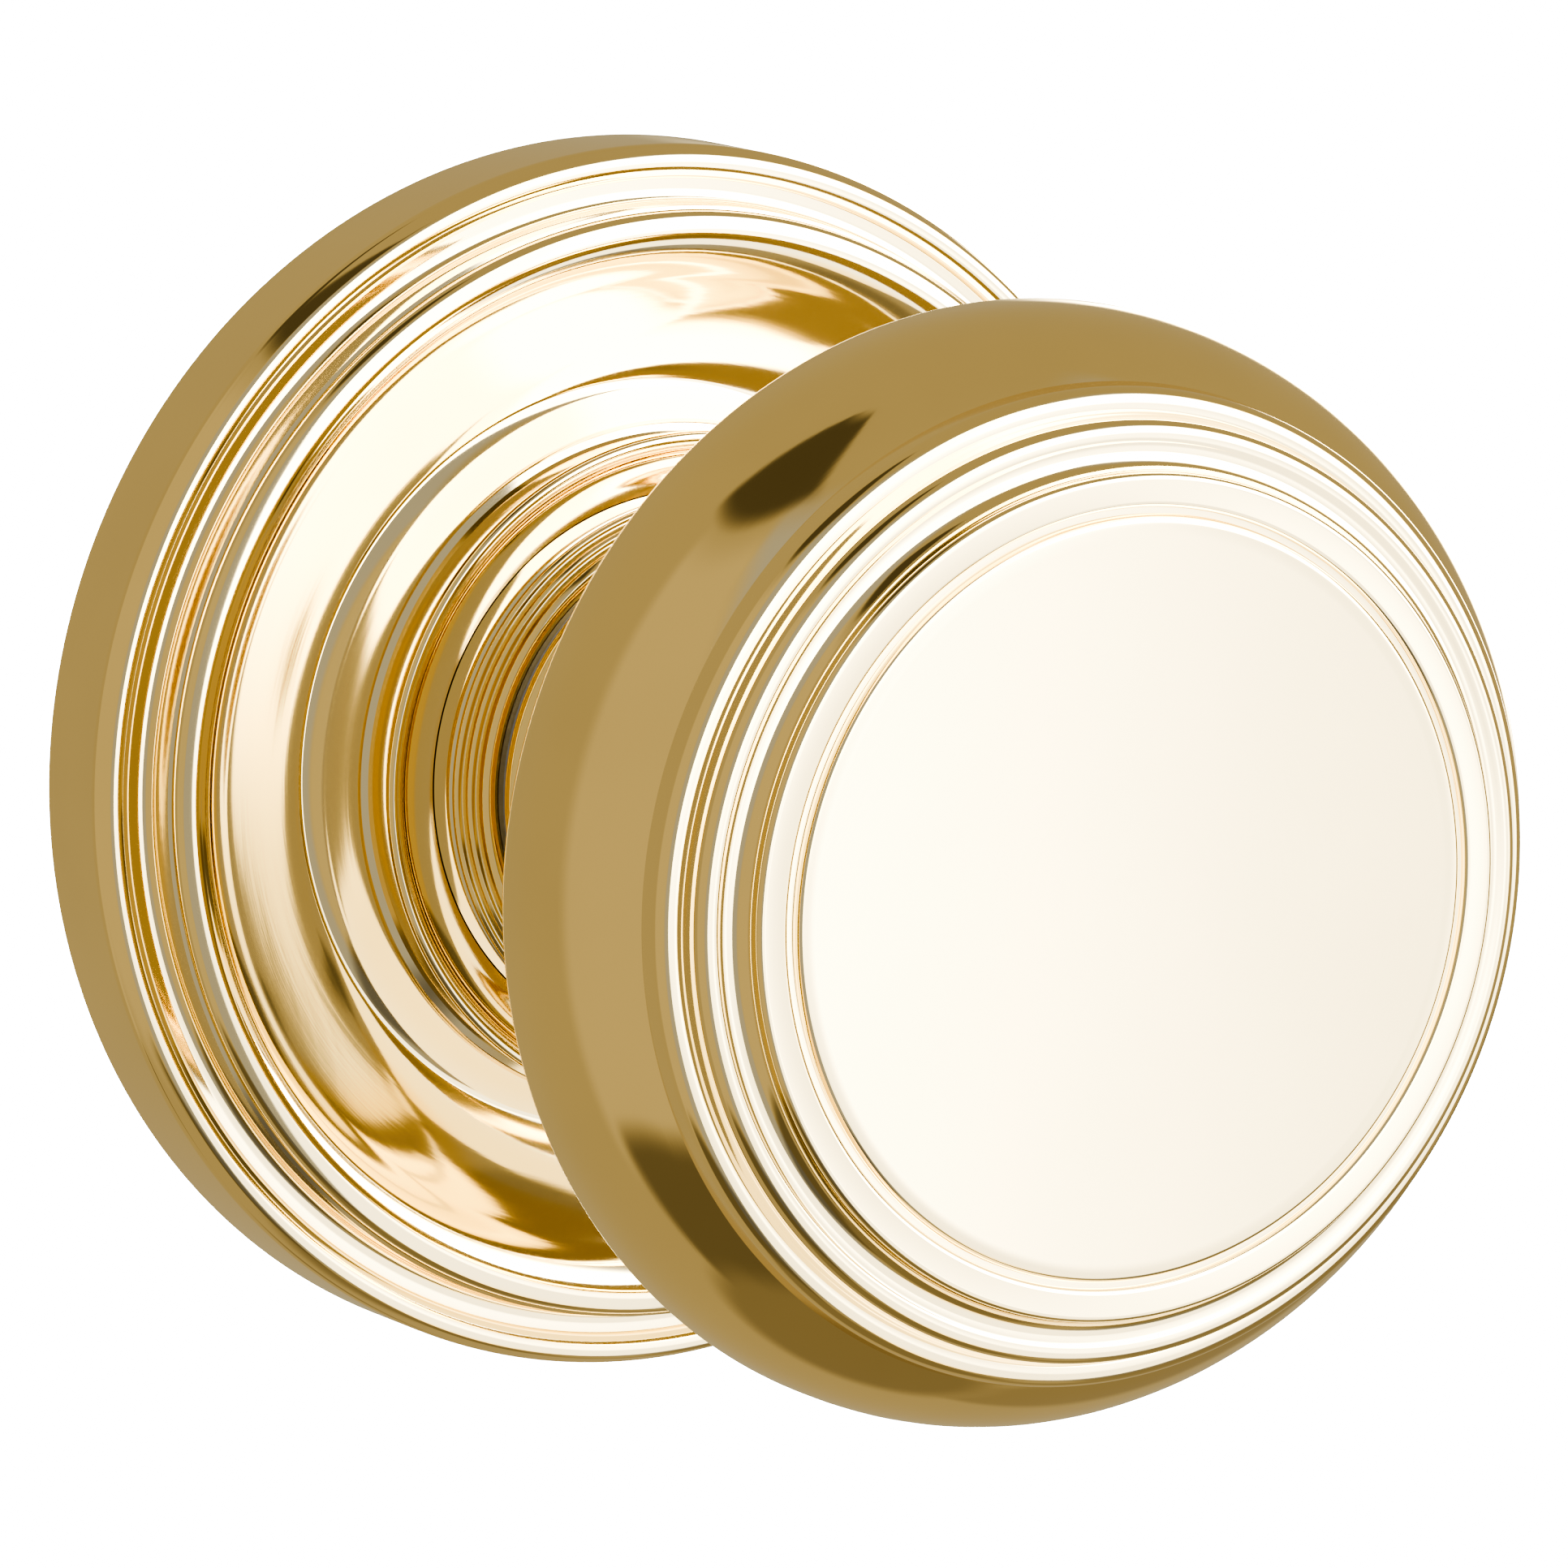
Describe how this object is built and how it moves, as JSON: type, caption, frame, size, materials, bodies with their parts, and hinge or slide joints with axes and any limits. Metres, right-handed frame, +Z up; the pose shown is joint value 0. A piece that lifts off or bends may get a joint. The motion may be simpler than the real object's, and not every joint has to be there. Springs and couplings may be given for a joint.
{
  "type": "door knob",
  "caption": "Round moulded door knob on a round stepped rose, sprung to centre, with a square spindle and tapped fixing posts.",
  "frame": {"origin": "centre of the rose's back, on the face of the door", "axes": "-Y points out of the door to the knob's face, +Y runs into the door along the spindle, +Z is up"},
  "size_m": [0.066, 0.1079, 0.066],
  "materials": {
    "polished_brass": "polished and lacquered",
    "plated_steel": "zinc plated, satin",
    "dark_steel": "black oxide",
    "cast_zinc": "as cast",
    "black_nylon": "turned nylon"
  },
  "bodies": {
    "door_side": {"rose": "polished_brass", "neck_collar": "polished_brass", "neck_bush": "black_nylon", "thrust_washer": "black_nylon", "mounting_plate": "plated_steel", "threaded_posts": "plated_steel", "spring_case": "cast_zinc", "return_spring": "dark_steel", "case_cover": "plated_steel", "cover_screws": "plated_steel", "rose_grub_screw": "dark_steel"},
    "knob": {"knob_front_shell": "polished_brass", "knob_rear_shell": "polished_brass", "stiffening_disc": "plated_steel", "knob_shank": "polished_brass", "shank_grub_screw": "dark_steel", "spindle": "plated_steel", "drive_cam": "plated_steel", "retaining_ring": "dark_steel", "spring_washer": "dark_steel"}
  },
  "joints": [
    {"name": "knob_turn", "type": "hinge", "parent": "door_side", "child": "knob", "pos_m": [0, 0, 0], "axis": [0, 1, 0], "range_deg": [-60, 60], "stiffness_Nm_per_rad": 0.35, "deforming": ["return_spring"]}
  ]
}
